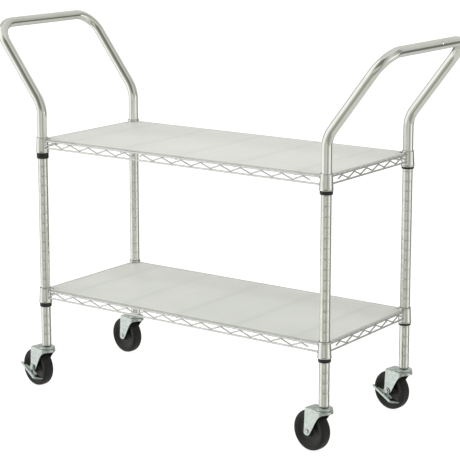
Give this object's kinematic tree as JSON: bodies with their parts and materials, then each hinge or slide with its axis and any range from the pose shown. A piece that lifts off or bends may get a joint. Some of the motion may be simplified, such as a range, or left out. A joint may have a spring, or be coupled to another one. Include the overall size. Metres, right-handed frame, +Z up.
{
  "type": "wire shelf cart",
  "caption": "Two-shelf wire utility cart with grooved posts, notched liner sheets, outward-leaning push handles and swivel casters, some with side brakes.",
  "frame": {"origin": "on the floor, midway between the four posts", "axes": "+X along the cart towards the right handle, +Y across it to the back, +Z up"},
  "size_m": [1.2204, 0.451, 0.9871],
  "materials": {
    "post_chrome": "dull bright plating with turned grooves",
    "handle_chrome": "bright chrome plating",
    "collar_chrome": "bright plating over a formed cone",
    "wire_chrome": "bright plated welded wire",
    "zinc_steel": "pale blue zinc plating on pressed steel",
    "plain_steel": "turned steel",
    "black_plastic": "moulded black plastic",
    "liner_plastic": "frosted translucent sheet",
    "wheel_rubber": "matte hard rubber",
    "wheel_core_plastic": "moulded black core"
  },
  "bodies": {
    "frame": {"post_front_left": "post_chrome", "post_front_right": "post_chrome", "post_rear_left": "post_chrome", "post_rear_right": "post_chrome", "post_inserts": "plain_steel", "handle_left": "handle_chrome", "handle_right": "handle_chrome", "handle_couplers": "plain_steel", "lower_shelf_collars": "collar_chrome", "lower_shelf_front_truss": "wire_chrome", "lower_shelf_rear_truss": "wire_chrome", "lower_shelf_left_truss": "wire_chrome", "lower_shelf_right_truss": "wire_chrome", "lower_shelf_deck_wires": "wire_chrome", "lower_shelf_cross_supports": "wire_chrome", "lower_shelf_sleeves": "black_plastic", "upper_shelf_collars": "collar_chrome", "upper_shelf_front_truss": "wire_chrome", "upper_shelf_rear_truss": "wire_chrome", "upper_shelf_left_truss": "wire_chrome", "upper_shelf_right_truss": "wire_chrome", "upper_shelf_deck_wires": "wire_chrome", "upper_shelf_cross_supports": "wire_chrome", "upper_shelf_sleeves": "black_plastic", "front_left_caster_stem": "zinc_steel", "front_right_caster_stem": "zinc_steel", "rear_left_caster_stem": "zinc_steel", "rear_right_caster_stem": "zinc_steel"},
    "upper_liner": {"upper_shelf_liner": "liner_plastic"},
    "lower_liner": {"lower_shelf_liner": "liner_plastic"},
    "front_left_swivel": {"front_left_caster_balls": "plain_steel", "front_left_caster_fork": "zinc_steel", "front_left_axle_bolt": "plain_steel", "front_left_axle_nut": "zinc_steel", "front_left_axle_sleeve": "plain_steel"},
    "front_left_wheel": {"front_left_wheel_core": "wheel_core_plastic", "front_left_tyre": "wheel_rubber"},
    "front_left_brake": {"front_left_brake_lever": "zinc_steel"},
    "front_right_swivel": {"front_right_caster_balls": "plain_steel", "front_right_caster_fork": "zinc_steel", "front_right_axle_bolt": "plain_steel", "front_right_axle_nut": "zinc_steel", "front_right_axle_sleeve": "plain_steel"},
    "front_right_wheel": {"front_right_wheel_core": "wheel_core_plastic", "front_right_tyre": "wheel_rubber"},
    "rear_left_swivel": {"rear_left_caster_balls": "plain_steel", "rear_left_caster_fork": "zinc_steel", "rear_left_axle_bolt": "plain_steel", "rear_left_axle_nut": "zinc_steel", "rear_left_axle_sleeve": "plain_steel"},
    "rear_left_wheel": {"rear_left_wheel_core": "wheel_core_plastic", "rear_left_tyre": "wheel_rubber"},
    "rear_right_swivel": {"rear_right_caster_balls": "plain_steel", "rear_right_caster_fork": "zinc_steel", "rear_right_axle_bolt": "plain_steel", "rear_right_axle_nut": "zinc_steel", "rear_right_axle_sleeve": "plain_steel"},
    "rear_right_wheel": {"rear_right_wheel_core": "wheel_core_plastic", "rear_right_tyre": "wheel_rubber"},
    "rear_right_brake": {"rear_right_brake_lever": "zinc_steel"}
  },
  "joints": [
    {"name": "upper_liner_lift", "type": "slide", "parent": "frame", "child": "upper_liner", "axis": [0, 0, 1], "range_m": [0, 0.08]},
    {"name": "lower_liner_lift", "type": "slide", "parent": "frame", "child": "lower_liner", "axis": [0, 0, 1], "range_m": [0, 0.08]},
    {"name": "front_left_swivel_turn", "type": "hinge", "parent": "frame", "child": "front_left_swivel", "pos_m": [-0.4415, -0.191, 0.111], "axis": [0, 0, 1], "continuous": true},
    {"name": "front_left_wheel_roll", "type": "hinge", "parent": "front_left_swivel", "child": "front_left_wheel", "pos_m": [-0.47892, -0.1844, 0.0508], "axis": [-0.1736, -0.9848, 0], "continuous": true},
    {"name": "front_left_brake_press", "type": "hinge", "parent": "front_left_swivel", "child": "front_left_brake", "pos_m": [-0.47892, -0.1844, 0.0508], "axis": [-0.1736, -0.9848, 0], "range_deg": [0, 20]},
    {"name": "front_right_swivel_turn", "type": "hinge", "parent": "frame", "child": "front_right_swivel", "pos_m": [0.4415, -0.191, 0.111], "axis": [0, 0, 1], "continuous": true},
    {"name": "front_right_wheel_roll", "type": "hinge", "parent": "front_right_swivel", "child": "front_right_wheel", "pos_m": [0.40408, -0.1844, 0.0508], "axis": [-0.1736, -0.9848, 0], "continuous": true},
    {"name": "rear_left_swivel_turn", "type": "hinge", "parent": "frame", "child": "rear_left_swivel", "pos_m": [-0.4415, 0.191, 0.111], "axis": [0, 0, 1], "continuous": true},
    {"name": "rear_left_wheel_roll", "type": "hinge", "parent": "rear_left_swivel", "child": "rear_left_wheel", "pos_m": [-0.47892, 0.1976, 0.0508], "axis": [-0.1736, -0.9848, 0], "continuous": true},
    {"name": "rear_right_swivel_turn", "type": "hinge", "parent": "frame", "child": "rear_right_swivel", "pos_m": [0.4415, 0.191, 0.111], "axis": [0, 0, 1], "continuous": true},
    {"name": "rear_right_wheel_roll", "type": "hinge", "parent": "rear_right_swivel", "child": "rear_right_wheel", "pos_m": [0.40408, 0.1976, 0.0508], "axis": [-0.1736, -0.9848, 0], "continuous": true},
    {"name": "rear_right_brake_press", "type": "hinge", "parent": "rear_right_swivel", "child": "rear_right_brake", "pos_m": [0.40408, 0.1976, 0.0508], "axis": [-0.1736, -0.9848, 0], "range_deg": [0, 20]}
  ]
}
